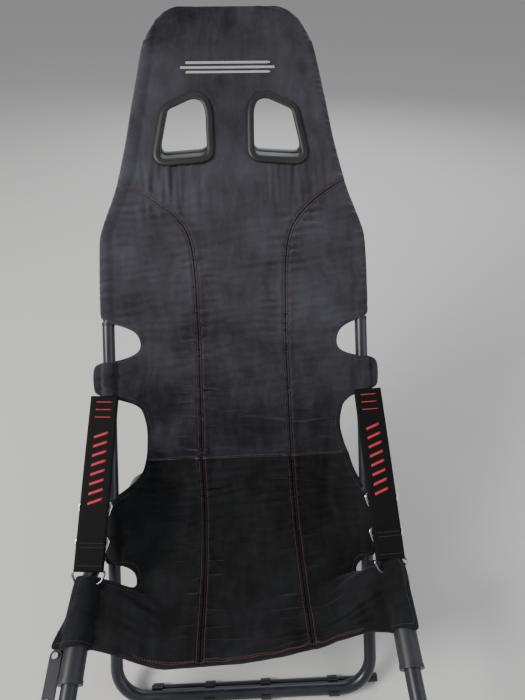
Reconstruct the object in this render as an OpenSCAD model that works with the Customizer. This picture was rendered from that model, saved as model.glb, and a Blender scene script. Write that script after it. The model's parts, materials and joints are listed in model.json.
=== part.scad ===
// Folding racing seat: a sling of fabric on a scissor frame of two bent tubes,
// held open by a webbing strap on each side. Millimetres, +Z up, -Y is the front.

/* [Frame] */
// Distance between the centre lines of the back frame's two legs
back_frame_w = 462; // [458:1:466]
// Distance between the centre lines of the seat frame's two sides
seat_frame_w = 512; // [512:1:520]
// Lean of the back frame from upright, in degrees
back_lean = 40; // [38:0.5:42]
// Length of the back frame from its floor tube to its top tube
back_len = 1238; // [1230:1:1250]
// Distance from the floor tube to the fold's pivot, along the back frame
pivot_up = 259; // [255:1:263]
// Slope of the seat frame's rear legs, in degrees
seat_slope = 31; // [30:0.5:32]

/* [Tubes] */
// Outer diameter of the back frame's lower tube
lower_d = 22; // [21:0.5:22]
// Outer diameter of the back frame's upper tube
upper_d = 19; // [18:0.5:19]
// Outer diameter of the seat frame's tube
seat_d = 25; // [25:0.5:25]
// Wall of every tube
wall = 1.5; // [1.2:0.1:1.5]
// Radius of the floor bends
floor_bend = 55; // [50:1:60]

/* [Straps] */
// Width of the webbing
strap_w = 50; // [45:1:50]
// Thickness of the webbing
strap_t = 3; // [2:0.5:3]
// Diameter of the wire loops
wire_d = 4; // [3:0.5:4]

/* [Cover] */
// Thickness of the padded back cover over its tube
cover_t = 30; // [28:1:34]
// Thickness of the sling's panels
panel_t = 8; // [6:1:10]
// Width of the seat panel
seat_panel_w = 404; // [390:1:408]

/* [Hidden] */

$fn = 48;
gap = 0.5;
slip = 0.05;
floor_z = 15;
bead_len = 1.2;
bead_up = 0.12;
seam_gap = 0.03;
tube_black = [0.07, 0.07, 0.08];
cover_black = [0.13, 0.13, 0.16];
web_black = [0.05, 0.05, 0.06];
plastic_black = [0.09, 0.09, 0.09];
steel = [0.75, 0.76, 0.78];

// Places in the side plane, from the front floor tube backwards and upwards
y_mid = 312;
pivot_y = pivot_up * sin(back_lean);
pivot_z = floor_z + pivot_up * cos(back_lean);
rear_y = pivot_y + (pivot_z - floor_z) / tan(seat_slope);
corner_back = 79;
corner_y = pivot_y - corner_back * cos(seat_slope);
corner_z = pivot_z + corner_back * sin(seat_slope);
arm_drop = 9.4;
corner_bend = 60;
arm_end = 104;
side_run = 45;
leg_len = (pivot_z - floor_z) / sin(seat_slope) + corner_back;
half_back = back_frame_w / 2;
half_seat = seat_frame_w / 2;

// Moves a child from the side plane's own origin, the front floor tube, to the model's
module place() { translate([0, -y_mid, 0]) children(); }

// Lays the XY plane on the back frame: Y runs up along the frame, Z points to its back
module on_back() {
    place() translate([0, 0, floor_z]) rotate([90 - back_lean, 0, 0]) children();
}

// Lays the XY plane on the rear legs: Y runs from the rear floor tube up to the front
module on_legs() {
    place() translate([0, rear_y, floor_z]) rotate([180 - seat_slope, 0, 0]) children();
}

// Puts a child at the front corner with its Z axis forwards along the arm
module on_arm(side, along) {
    place() translate([side * half_seat, corner_y, corner_z])
        rotate([90 + arm_drop, 0, 0]) translate([0, 0, along]) children();
}

function unit(v) = v / norm(v);
function turn_of(a, b, c) = acos(max(-1, min(1, unit(b - a) * unit(c - b))));
function trim_at(a, b, c, r) = r * tan(turn_of(a, b, c) / 2);
function side_of(a, b, c) = sign((b - a)[0] * (c - b)[1] - (b - a)[1] * (c - b)[0]);
function trims(p, r) = [
    for (i = [0:len(p) - 1])
        (i == 0 || i == len(p) - 1) ? 0 : trim_at(p[i - 1], p[i], p[i + 1], r[i])
];

// Straight length of tube between two points of the XY plane
module tube_run(a, b, d, bore) {
    v = b - a;
    translate([a[0], a[1], 0]) rotate([0, 0, atan2(v[1], v[0])]) rotate([0, 90, 0])
        difference() {
            cylinder(d = d, h = norm(v));
            if (bore > 0) translate([0, 0, -1]) cylinder(d = bore, h = norm(v) + 2);
        }
}

// Bend of tube at b, coming from a and leaving towards c
module tube_bend(a, b, c, r, d, bore) {
    turn = turn_of(a, b, c);
    s = side_of(a, b, c);
    u = unit(b - a);
    n = [-u[1], u[0]] * s;
    start = b - u * trim_at(a, b, c, r);
    centre = start + n * r;
    from = atan2(-n[1], -n[0]);
    translate([centre[0], centre[1], 0]) rotate([0, 0, s > 0 ? from : from - turn])
        rotate_extrude(angle = turn) translate([r, 0]) difference() {
            circle(d = d);
            if (bore > 0) circle(d = bore);
        }
}

// Weld bead round the seam between a straight length and a bend, at a along u
module seam_bead(a, u, d, bore) {
    tube_run(a - u * bead_len / 2, a + u * bead_len / 2, d + bead_up, max(0, bore - bead_up));
}

// Tube along the points p of the XY plane, with the radius r[i] at each inner point
module bent_tube(p, r, d, bore) {
    cut = trims(p, r);
    last = len(p) - 1;
    for (i = [0:last - 1]) {
        u = unit(p[i + 1] - p[i]);
        a = p[i] + u * cut[i];
        b = p[i + 1] - u * cut[i + 1];
        tube_run(i > 0 ? a + u * seam_gap : a, i + 1 < last ? b - u * seam_gap : b, d, bore);
        if (i > 0) seam_bead(a, u, d, bore);
        if (i + 1 < last) seam_bead(b, u, d, bore);
    }
    for (i = [1:len(p) - 2]) tube_bend(p[i - 1], p[i], p[i + 1], r[i], d, bore);
}

// ---- seat frame, the part that stands still ----

module seat_frame_tube() {
    straight = leg_len - side_run;
    legs = [[-half_seat, straight], [-half_seat, 0], [half_seat, 0], [half_seat, straight]];
    color(tube_black) difference() {
        union() {
            on_legs() bent_tube(legs, [0, floor_bend, floor_bend, 0], seat_d, seat_d - 2 * wall);
            for (side = [-1, 1]) front_corner(side);
            on_legs() for (side = [-1, 1])
                seam_bead([side * half_seat, straight], [0, 1], seat_d, seat_d - 2 * wall);
        }
        pivot_bore(half_seat, seat_d, 4.1);
        for (side = [-1, 1]) on_arm(side, arm_end - 15) rotate([90, 0, 0])
            cylinder(d = 6.2, h = seat_d + 4, center = true);
    }
}

// Top of a side: the bend at the front corner with the short arm in front of it
module front_corner(side) {
    place() translate([side * half_seat, 0, 0]) rotate([90, 0, 90]) {
        on = [corner_y, corner_z];
        leg = [cos(seat_slope), -sin(seat_slope)];
        ahead = [-cos(arm_drop), -sin(arm_drop)];
        bent_tube([on + leg * (side_run - seam_gap), on, on + ahead * arm_end],
            [0, corner_bend, 0], seat_d, seat_d - 2 * wall);
    }
}

// Pair of cross bores at the fold's pivot, through tubes of diameter d
module pivot_bore(half, d, r) {
    for (side = [-1, 1]) place() translate([side * half, pivot_y, pivot_z])
        rotate([0, 90, 0]) cylinder(r = r, h = d + 4, center = true);
}

// C-shaped clip under a floor tube, open at the top, standing on the floor
module floor_clip(d, w, rod = 0) {
    rotate([0, 90, 0]) difference() {
        union() {
            cylinder(d = d + 5, h = w, center = true);
            translate([floor_z / 2, 0, 0]) cube([floor_z, d * 0.8, w], center = true);
            if (rod > 0) translate([rod_drop, rod_back, 0]) cylinder(d = rod + 5, h = w, center = true);
        }
        if (rod > 0) translate([rod_drop, rod_back, 0])
            cylinder(d = rod + 2 * slip, h = w + 2, center = true);
        cylinder(d = d + 2 * slip, h = w + 2, center = true);
        translate([-d / 2 - 4, 0, 0]) cube([d, d * 0.9, w + 2], center = true);
        translate([floor_z + 5, 0, 0]) cube([10, 3 * d, w + 2], center = true);
    }
}

module rear_floor_clips() {
    color(plastic_black) place() for (x = [-170, -110, 110, 170])
        translate([x, rear_y, floor_z]) floor_clip(seat_d, 18);
}

module pivot_bolts() {
    inner = half_back - lower_d / 2 - 7.5;
    outer = half_seat + seat_d / 2;
    color(steel) for (side = [0, 1]) mirror([side, 0, 0])
        place() translate([0, pivot_y, pivot_z]) rotate([0, 90, 0]) {
            translate([0, 0, inner]) cylinder(r = 4, h = outer - inner + 0.1);
            translate([0, 0, outer]) cylinder(r1 = 8, r2 = 5.5, h = 4.5);
        }
}

module pivot_washers() {
    from = half_back + lower_d / 2;
    room = half_seat - seat_d / 2 - from;
    color(steel) for (side = [0, 1]) mirror([side, 0, 0])
        place() translate([from + 0.1, pivot_y, pivot_z]) rotate([0, 90, 0]) difference() {
            cylinder(r = 11, h = room - 0.1);
            translate([0, 0, -1]) cylinder(r = 4.05, h = room + 2);
        }
}

module pivot_nuts() {
    color(steel) for (side = [0, 1]) mirror([side, 0, 0])
        place() translate([half_back - lower_d / 2 - 0.1, pivot_y, pivot_z]) rotate([0, -90, 0])
            difference() {
                cylinder(r = 7.5, h = 6.5, $fn = 6);
                translate([0, 0, -1]) cylinder(r = 4.02, h = 9);
            }
}

sleeve_d = 36;
sleeve_lip_d = 38;
sleeve_lip = 6;
sleeve_len = 85;
sleeve_start = arm_end - 40;
collar_d = 40;
collar_len = 9.9;
bolt_at = arm_end - 15;
bolt_d = 6;
bolt_head_d = 10;
bolt_head_h = 3.5;
nut_r = 5.5;
nut_h = 3.8;

// Socket sleeve over the end of each arm
module arm_sleeves() {
    color(tube_black) for (side = [-1, 1]) on_arm(side, sleeve_start) difference() {
        union() {
            cylinder(d = sleeve_d, h = sleeve_len);
            translate([0, 0, sleeve_len - sleeve_lip]) cylinder(d = sleeve_lip_d, h = sleeve_lip);
        }
        translate([0, 0, -1]) cylinder(r = seat_d / 2 + slip, h = sleeve_len + 2);
        translate([0, 0, bolt_at - sleeve_start]) rotate([90, 0, 0])
            cylinder(d = bolt_d + 0.2, h = 2 * sleeve_d, center = true);
    }
}

module sleeve_collars() {
    color(plastic_black) for (side = [-1, 1]) on_arm(side, sleeve_start - 10) difference() {
        cylinder(d = collar_d, h = collar_len);
        translate([0, 0, -1]) cylinder(r = seat_d / 2 + slip, h = collar_len + 2);
    }
}

// Bolt that holds the sleeve on the arm's end, from its top to a nut below
module sleeve_bolts() {
    color(steel) for (side = [-1, 1]) on_arm(side, bolt_at) rotate([90, 0, 0]) {
        cylinder(d = bolt_d, h = sleeve_d + 8, center = true);
        translate([0, 0, sleeve_d / 2 + 0.1]) cylinder(d = bolt_head_d, h = bolt_head_h);
        translate([0, 0, -sleeve_d / 2 - nut_h - 0.1]) cylinder(r = nut_r, h = nut_h, $fn = 6);
    }
}

arm_len = 190;
shank_len = 34;
socket_len = 100;
pin_inset = 25;
pin_d = 8.2;

// Telescopic arm: a front tube with a thinner shank that runs in the seat frame's arm
module arm_tube(side) {
    color(tube_black) on_arm(side, arm_end + 0.3) difference() {
        union() {
            cylinder(d = seat_d, h = arm_len);
            translate([0, 0, -shank_len]) cylinder(r = seat_d / 2 - wall - slip, h = shank_len + gap);
        }
        translate([0, 0, -shank_len - 6]) cylinder(r = seat_d / 2 - 2 * wall, h = arm_len + 50);
        translate([0, 0, arm_len - socket_len]) cylinder(r = seat_d / 2 - wall, h = socket_len + 20);
        translate([0, 0, arm_len - pin_inset]) rotate([90, 0, 0])
            cylinder(d = pin_d, h = 40, center = true);
        translate([-4, -20, -41]) cube([8, 40, 30]);
    }
}
module arm_left() { arm_tube(-1); }
module arm_right() { arm_tube(1); }

// ---- swinging link beside the left arm ----

link_x = 28;
link_w = 18;
link_t = 6;
link_len = 170;
link_up = arm_end + 6;

module link_lug() {
    color(tube_black) on_arm(-1, link_up) difference() {
        rotate([-90, 0, 0]) translate([0, 0, -10]) union() {
            translate([-link_x, 0, 0]) cylinder(d = link_w, h = 8);
            translate([-link_x, -link_w / 2, 0]) cube([link_x - 8, link_w, 8]);
        }
        translate([0, 0, -60]) cylinder(d = 36.1, h = 120);
        translate([-link_x, 0, 0]) rotate([-90, 0, 0]) cylinder(r = 3.02, h = 60, center = true);
    }
}

module link_pin() {
    color(steel) on_arm(-1, link_up) translate([-link_x, 0, 0]) rotate([-90, 0, 0]) {
        translate([0, 0, -14]) cylinder(r = 3, h = 19);
        translate([0, 0, 4.3]) cylinder(r1 = 6, r2 = 4.5, h = 3.2);
        translate([0, 0, -14]) cylinder(r = 5.5, h = 3.8, $fn = 6);
    }
}

module link_bar() {
    color(tube_black) on_arm(-1, link_up) rotate([-90, 0, 0]) translate([0, 0, -1.8])
        difference() {
            union() {
                translate([-link_x, 0, 0]) cylinder(d = link_w, h = link_t);
                translate([-link_x - link_w / 2, -link_len, 0]) cube([link_w, link_len, link_t]);
                translate([-link_x, -link_len, 0]) cylinder(d = link_w, h = link_t);
            }
            translate([-link_x, 0, -1]) cylinder(r = 3.05, h = 10);
            for (y = [-60, -link_len]) translate([-link_x, y, -1]) cylinder(r = 3.1, h = 10);
        }
}

module link_bolt() {
    color(steel) on_arm(-1, link_up) rotate([-90, 0, 0]) translate([-link_x, -60, 0]) {
        translate([0, 0, -6]) cylinder(r = 3, h = 11);
        translate([0, 0, link_t - 1.7]) cylinder(r1 = 5.5, r2 = 4, h = 3);
        translate([0, 0, -6]) cylinder(r = 5, h = 4.1, $fn = 6);
    }
}

// ---- back frame, which folds forwards on the pivot bolts ----

module back_frame_lower_tube() {
    top = 675;
    p = [[-half_back, top], [-half_back, 0], [half_back, 0], [half_back, top]];
    color(tube_black) difference() {
        on_back() bent_tube(p, [0, floor_bend, floor_bend, 0], lower_d, lower_d - 2 * wall);
        pivot_bore(half_back, lower_d, 4.06);
    }
}

function upper_path() = [
    [-half_back, 590], [-half_back, 835], [-186, 950], [-136, back_len],
    [136, back_len], [186, 950], [half_back, 835], [half_back, 590]
];
upper_bends = [0, 110, 160, 62, 62, 160, 110, 0];

module back_frame_upper_tube() {
    color(tube_black) on_back()
        bent_tube(upper_path(), upper_bends, lower_d - 2 * wall - 0.3, upper_d - 2 * wall);
}

bushing_up = 675.1;
bushing_h = 6;
module step_bushings() {
    color(plastic_black) on_back() for (side = [-1, 1])
        translate([side * half_back, bushing_up, 0]) rotate([-90, 0, 0]) difference() {
            cylinder(d = lower_d + 1, h = bushing_h);
            translate([0, 0, -1]) cylinder(d = lower_d - 2 * wall + 0.1, h = bushing_h + 2);
        }
}

rod_d = 8;
rod_back = 17;
rod_drop = 7;
rod_end = 238;

module front_floor_clips() {
    color(plastic_black) place() for (x = [-160, -64, 38, 162])
        translate([x, 0, floor_z]) floor_clip(lower_d, 18, rod_d);
}

module floor_rod() {
    color(tube_black) place() translate([-172, rod_back, floor_z - rod_drop]) rotate([0, 90, 0])
        cylinder(d = rod_d, h = rod_end + 172);
}

module floor_rod_cap() {
    color(plastic_black) place() translate([rod_end - 12, rod_back, floor_z - rod_drop])
        rotate([0, 90, 0]) difference() {
            cylinder(d = 15, h = 20);
            translate([0, 0, -1]) cylinder(d = rod_d + 2 * slip, h = 13.1);
        }
}

// Outline of the padded back cover, in the back frame's plane
function cover_side() = [
    [184, 672], [222, 680], [243, 692], [245, 745], [243, 831], [226, 880], [209, 934],
    [192, 1009], [178, 1085], [163, 1152], [148, 1194], [123, 1232], [88, 1254]
];
function mirrored(p) = [for (i = [len(p) - 1:-1:0]) [-p[i][0], p[i][1]]];

// Opening for a shoulder belt, as an outline around its own middle
function belt_hole(side, grow) = [
    for (q = [[-26, 23], [20, 44], [36, 40], [43, 22], [44, -54], [36, -60], [-36, -65], [-42, -56]])
        [-side * q[0] * (1 + grow / hole_r), q[1] * (1 + grow / hole_r)]
];
hole_x = 87;
hole_up = 1050;
hole_r = 45;

// Leans a child drawn across the back so that it runs level from front to rear
module level() {
    multmatrix([[1, 0, 0, 0], [0, 1, -tan(back_lean), 0], [0, 0, 1, 0]]) children();
}

module belt_cut(side, grow, h) {
    translate([side * hole_x, hole_up, 0]) linear_extrude(h, center = true)
        polygon(belt_hole(side, grow));
}

module back_cover() {
    color(cover_black) on_back() difference() {
        linear_extrude(cover_t, center = true)
            polygon(concat(cover_side(), mirrored(cover_side())));
        bent_tube(upper_path(), upper_bends, upper_d + 2 * gap, 0);
        for (side = [-1, 1]) level() belt_cut(side, 7, 2 * cover_t);
        for (side = [-1, 1]) translate([side * half_back, 0, 0]) rotate([-90, 0, 0])
            cylinder(d = lower_d + 1 + 2 * gap, h = bushing_up + bushing_h + gap);
    }
}

// Plastic frame of a belt hole: a lip on the cover and a wall that runs into it
module bezel(side, face) {
    color(plastic_black) on_back() level() difference() {
        union() {
            translate([0, 0, face * (cover_t / 2 + 2.1)]) belt_cut(side, 13, 4);
            translate([0, 0, face * (cover_t / 4 + 1.1)]) belt_cut(side, 6, cover_t / 2 - 2);
        }
        belt_cut(side, 0, 3 * cover_t);
    }
}
module bezel_front_left() { bezel(-1, 1); }
module bezel_front_right() { bezel(1, 1); }
module bezel_rear_left() { bezel(-1, -1); }
module bezel_rear_right() { bezel(1, -1); }

// Middle line of the sling in the side plane, from the back down and forwards to the hem
sling = [
    [431.2, 528.9], [398, 490], [358, 436], [327, 374], [300, 311], [262, 252], [200, 214],
    [120, 207], [40, 215], [-38, 226]
];
hip = 4;

// Slab of the panel's thickness under the sling's line, between two of its points
module sling_slab(from, to, w) {
    top = [for (i = [from:to]) sling[i] + normal_at(i) * panel_t / 2];
    under = [for (i = [to:-1:from]) sling[i] - normal_at(i) * panel_t / 2];
    place() rotate([90, 0, 90]) linear_extrude(w, center = true) polygon(concat(top, under));
}
function normal_at(i) = let (
    a = sling[max(0, i - 1)],
    b = sling[min(len(sling) - 1, i + 1)],
    u = unit(b - a)
) [u[1], -u[0]];

module lumbar_panel() { color(cover_black) sling_slab(0, hip, 364); }
module seat_panel() { color(cover_black) sling_slab(hip, len(sling) - 1, seat_panel_w); }

module front_hem() {
    color(cover_black) place() translate([0, -46, 225]) rotate([0, 90, 0])
        cylinder(d = 14, h = seat_panel_w, center = true);
}

// Fabric wrapped round a leg of the back frame, with a web that joins it to its panel
module leg_wrap(side, low, high, reach, r) {
    on_back() difference() {
        union() {
            translate([side * half_back, low, 0]) rotate([-90, 0, 0]) cylinder(r = r, h = high - low);
            translate([side > 0 ? reach : -half_back, low, -4])
                cube([half_back - reach, high - low, 8]);
        }
        translate([side * half_back, low - 1, 0]) rotate([-90, 0, 0])
            cylinder(r = lower_d / 2 + 0.3, h = high - low + 2);
    }
}
module side_tab_left() { color(cover_black) leg_wrap(-1, 556, 622, 183, 20); }
module side_tab_right() { color(cover_black) leg_wrap(1, 556, 622, 183, 20); }
module mid_flap_left() { color(cover_black) leg_wrap(-1, 276, 360, 204, 14); }
module mid_flap_right() { color(cover_black) leg_wrap(1, 276, 360, 204, 14); }

// Fabric wrapped round an arm behind its sleeve, with a web towards the seat panel
flap_start = 24;
flap_len = 70;
flap_r = 24;
module corner_flap(side) {
    color(cover_black) on_arm(side, flap_start) difference() {
        union() {
            cylinder(r = flap_r, h = flap_len);
            translate([side > 0 ? -50 : 10, -5, 0]) cube([40, 10, flap_len]);
        }
        translate([0, 0, -1]) cylinder(r = collar_d / 2 + 0.4, h = flap_len + 2);
        translate([0, 0, bolt_at - flap_start]) rotate([90, 0, 0])
            cylinder(r = 7, h = 4 * flap_r, center = true);
    }
}
module corner_flap_left() { corner_flap(-1); }
module corner_flap_right() { corner_flap(1); }

// ---- straps ----

strap_top = [half_back + 5, 352, 452];
strap_end = [half_seat - 6, 105, 279];
strap_v = strap_end - strap_top;
strap_len = norm(strap_v);
strap_tip = asin(-strap_v[2] / strap_len);
strap_out = atan2(strap_v[0], -strap_v[1]);

// Lays the XY plane on a strap: Y runs from its top end to its front end
module on_strap(side) {
    place() translate([side * strap_top[0], strap_top[1], strap_top[2]])
        rotate([0, 0, side * strap_out]) rotate([strap_tip, 0, 0]) rotate([0, 0, 180]) children();
}

// Webbing with a sewn eye round its front loop's wide bar
strap_start = 14;
eye_r = 4;
eye_at = strap_len + wire_d / 2 + 0.4;
module strap(side) {
    color(web_black) on_strap(side) difference() {
        union() {
            translate([-strap_w / 2, strap_start, -strap_t / 2])
                cube([strap_w, eye_at - strap_start, strap_t]);
            translate([0, eye_at, 0]) rotate([0, 90, 0]) cylinder(r = eye_r, h = strap_w, center = true);
        }
        translate([0, eye_at, 0]) rotate([0, 90, 0]) cylinder(d = wire_d + 0.2, h = 2 * strap_w, center = true);
    }
}
module strap_left() { strap(-1); }
module strap_right() { strap(1); }

// Trapezoid loop of wire: a wide bar in the webbing, a narrow bar in the hook, two sides
side_wire_d = wire_d - 0.3;
module wire_loop(wide, narrow, long) {
    for (bar = [[wide, 0], [narrow, long]]) translate([0, bar[1], 0]) rotate([0, 90, 0])
        cylinder(d = wire_d, h = bar[0] + wire_d, center = true);
    for (side = [-1, 1])
        tube_run([side * wide / 2, 0], [side * narrow / 2, long], side_wire_d, 0);
}

module spare_loop(side, along) {
    color(steel) on_strap(side) translate([0, along, -strap_t / 2 - wire_d / 2 - 0.4])
        wire_loop(58, 46, 24);
}
module strap_loop_middle_left() { spare_loop(-1, strap_len - 48); }
module strap_loop_middle_right() { spare_loop(1, strap_len - 48); }
module strap_loop_rear_left() { spare_loop(-1, strap_len - 105); }
module strap_loop_rear_right() { spare_loop(1, strap_len - 105); }

module front_loop(side) {
    color(steel) on_strap(side) translate([0, eye_at, 0]) wire_loop(58, 40, 20);
}
module strap_loop_front_left() { front_loop(-1); }
module strap_loop_front_right() { front_loop(1); }

// Hook on the front corner that stands inside the strap's front loop and over its bar
module corner_hook(side) {
    color(tube_black) place() difference() {
        translate([side * half_seat, 0, 0]) {
            translate([-9, 93, 255]) cube([18, 3, 18.5]);
            translate([-9, 82, 271]) cube([18, 14, 2.5]);
        }
        translate([side * half_seat, corner_y + 10, corner_z - 2.4]) rotate([90 + arm_drop, 0, 0])
            cylinder(d = seat_d + 3.4, h = 60);
    }
}
module corner_hook_left() { corner_hook(-1); }
module corner_hook_right() { corner_hook(1); }

seat_frame_tube();
rear_floor_clips();
pivot_bolts();
pivot_washers();
pivot_nuts();
arm_sleeves();
sleeve_collars();
sleeve_bolts();
corner_hook_left();
corner_hook_right();
strap_loop_front_left();
strap_loop_front_right();
corner_flap_left();
corner_flap_right();
arm_left();
arm_right();
link_lug();
link_pin();
link_bar();
link_bolt();
back_frame_lower_tube();
back_frame_upper_tube();
step_bushings();
front_floor_clips();
floor_rod();
floor_rod_cap();
back_cover();
lumbar_panel();
side_tab_left();
side_tab_right();
mid_flap_left();
mid_flap_right();
seat_panel();
front_hem();
bezel_front_left();
bezel_front_right();
bezel_rear_left();
bezel_rear_right();
strap_left();
strap_right();
strap_loop_middle_left();
strap_loop_middle_right();
strap_loop_rear_left();
strap_loop_rear_right();
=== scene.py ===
"""Folding racing seat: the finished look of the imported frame, its sewn cover, straps and fittings."""

import json
import logging
import math
from dataclasses import dataclass, field
from enum import Enum
from typing import Iterable, Sequence

import bpy
import bmesh
import numpy as np
from mathutils import Matrix, Vector


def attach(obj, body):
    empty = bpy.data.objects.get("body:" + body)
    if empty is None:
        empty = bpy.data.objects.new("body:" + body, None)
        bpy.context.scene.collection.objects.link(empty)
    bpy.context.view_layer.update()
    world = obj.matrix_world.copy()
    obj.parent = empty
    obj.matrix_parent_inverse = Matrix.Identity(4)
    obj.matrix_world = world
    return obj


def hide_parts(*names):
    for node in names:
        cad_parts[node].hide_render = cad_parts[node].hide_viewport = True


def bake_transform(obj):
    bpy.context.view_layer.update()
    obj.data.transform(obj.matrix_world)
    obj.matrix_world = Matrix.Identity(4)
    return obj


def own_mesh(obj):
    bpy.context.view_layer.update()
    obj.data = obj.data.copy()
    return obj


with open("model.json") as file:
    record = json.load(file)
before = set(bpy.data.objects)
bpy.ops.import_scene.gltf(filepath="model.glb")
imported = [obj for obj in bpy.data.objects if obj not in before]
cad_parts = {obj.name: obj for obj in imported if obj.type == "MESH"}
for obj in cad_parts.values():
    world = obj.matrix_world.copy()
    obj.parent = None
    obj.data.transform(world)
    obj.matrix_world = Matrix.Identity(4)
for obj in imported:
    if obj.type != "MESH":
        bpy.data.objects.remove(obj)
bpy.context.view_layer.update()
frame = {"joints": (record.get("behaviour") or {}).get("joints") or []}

log = logging.getLogger("racing_seat")
MM = 0.001
TINY = 1e-12
CHUNK = 20000
PAST_CLOTH = (0.0, 0.3, 1.0)  # a direction that no seam runs along, used to turn thread and piping
Point2 = tuple[float, float]
Faces = list[tuple[int, ...]]
Nodes = bpy.types.NodeTree


# ---------------------------------------------------------------- the frame's own geometry


@dataclass(frozen=True)
class SidePlane:
    """The seat seen from its side, in millimetres back and up from the front floor tube."""

    lean: float = math.radians(40.0)
    floor_z: float = 15.0
    pivot_up: float = 259.0
    corner_back: float = 79.0
    leg_slope: float = math.radians(31.0)
    arm_drop: float = math.radians(9.4)
    arm_x: float = 256.0

    def origin_y(self) -> float:
        """How far the front floor tube lies from the model's origin, from the fold's pivot."""
        fold = next(j for j in frame["joints"] if j["name"] == "fold")
        return fold["pos_m"][1] / MM - self.pivot_up * math.sin(self.lean)

    def back(self, up: float, off: float = 0.0) -> Point2:
        """Point on the back frame.

        Args:
            up: distance along the frame from its floor tube.
            off: distance to the front of its plane.

        Returns:
            Distances back and up.
        """
        s, c = math.sin(self.lean), math.cos(self.lean)
        return up * s - off * c, self.floor_z + up * c + off * s

    def corner(self) -> Point2:
        """Point where the seat frame's leg and arm would meet without their bend."""
        y, z = self.back(self.pivot_up)
        reach = self.corner_back
        return y - reach * math.cos(self.leg_slope), z + reach * math.sin(self.leg_slope)

    def arm(self, along: float, up: float = 0.0) -> Point2:
        """Point on an arm.

        Args:
            along: distance from the front corner.
            up: distance above the arm's middle line.

        Returns:
            Distances back and up.
        """
        y, z = self.corner()
        s, c = math.sin(self.arm_drop), math.cos(self.arm_drop)
        return y - along * c - up * s, z - along * s + up * c

    def place(self, x: float, y: float, z: float) -> Vector:
        """Turns side-plane millimetres into the model's metres."""
        return Vector((x, y + self.origin_y(), z)) * MM


SIDE = SidePlane()


def smooth(a: float, b: float, x: np.ndarray | float) -> np.ndarray | float:
    """Smooth step of x from 0 at a to 1 at b."""
    t = np.clip((x - a) / (b - a), 0.0, 1.0)
    return t * t * (3.0 - 2.0 * t)


def hump(x: np.ndarray, middle: float, reach: float) -> np.ndarray:
    """Smooth hump of height 1 round a middle, about twice its reach wide."""
    return np.exp(-(((x - middle) / reach) ** 2))


def spline(keys: Sequence[Sequence[float]], at: np.ndarray) -> np.ndarray:
    """Catmull-Rom curve through keys.

    Args:
        keys: points, one for each whole value of the parameter.
        at: parameter values to read.

    Returns:
        One point per value.
    """
    k = np.asarray(keys, float)
    i = np.clip(at.astype(int), 0, len(k) - 2)
    t = (at - i)[:, None]
    p0, p1 = k[np.clip(i - 1, 0, len(k) - 1)], k[i]
    p2, p3 = k[i + 1], k[np.clip(i + 2, 0, len(k) - 1)]
    return 0.5 * (2 * p1 + (p2 - p0) * t + (2 * p0 - 5 * p1 + 4 * p2 - p3) * t**2
                  + (3 * p1 - p0 - 3 * p2 + p3) * t**3)


def unit(rows: np.ndarray) -> np.ndarray:
    """Rows scaled to length 1."""
    return rows / (np.linalg.norm(rows, axis=-1, keepdims=True) + TINY)


def aside(line: np.ndarray) -> np.ndarray:
    """Unit directions across a flat line, one for each of its rows."""
    run = unit(np.gradient(line, axis=0))
    return np.stack([run[:, 1], -run[:, 0]], 1)


def run_length(line: np.ndarray) -> np.ndarray:
    """Distance along a line to each of its rows."""
    return np.concatenate([[0], np.cumsum(np.linalg.norm(np.diff(line, axis=0), axis=1))])


def nearest(line: np.ndarray, u: np.ndarray, x: np.ndarray) -> np.ndarray:
    """Distance from each point to the nearest row of a line, worked out a chunk at a time."""
    best = np.empty(len(u))
    for start in range(0, len(u), CHUNK):
        part = slice(start, start + CHUNK)
        gap = (u[part, None] - line[None, :, 0]) ** 2 + (x[part, None] - line[None, :, 1]) ** 2
        best[part] = np.sqrt(gap.min(axis=1))
    return best


@dataclass(frozen=True)
class Ripple:
    """Soft noise made of a few seeded waves, for folds in cloth."""

    seed: int
    length_u: float
    length_x: float
    waves: int = 22

    def at(self, u: np.ndarray, x: np.ndarray) -> np.ndarray:
        """Height of the ripple, about -1 to 1, at distances u along and x across."""
        rng = np.random.default_rng(self.seed)
        total = np.zeros(np.broadcast(u, x).shape)
        for _ in range(self.waves):
            turn = rng.uniform(-0.6, 0.6)
            size = rng.uniform(0.6, 1.9)
            phase = rng.uniform(0.0, 2.0 * math.pi)
            phase_x = rng.uniform(0.0, 2.0 * math.pi)
            along = 2 * math.pi * (u / self.length_u + turn * x / self.length_x) * size
            across = 2 * math.pi * x / self.length_x * size * 0.7
            total += np.sin(along + phase) * np.cos(across + phase_x)
        return total / math.sqrt(self.waves) * 1.1


# ---------------------------------------------------------------- the sling's surface


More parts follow.
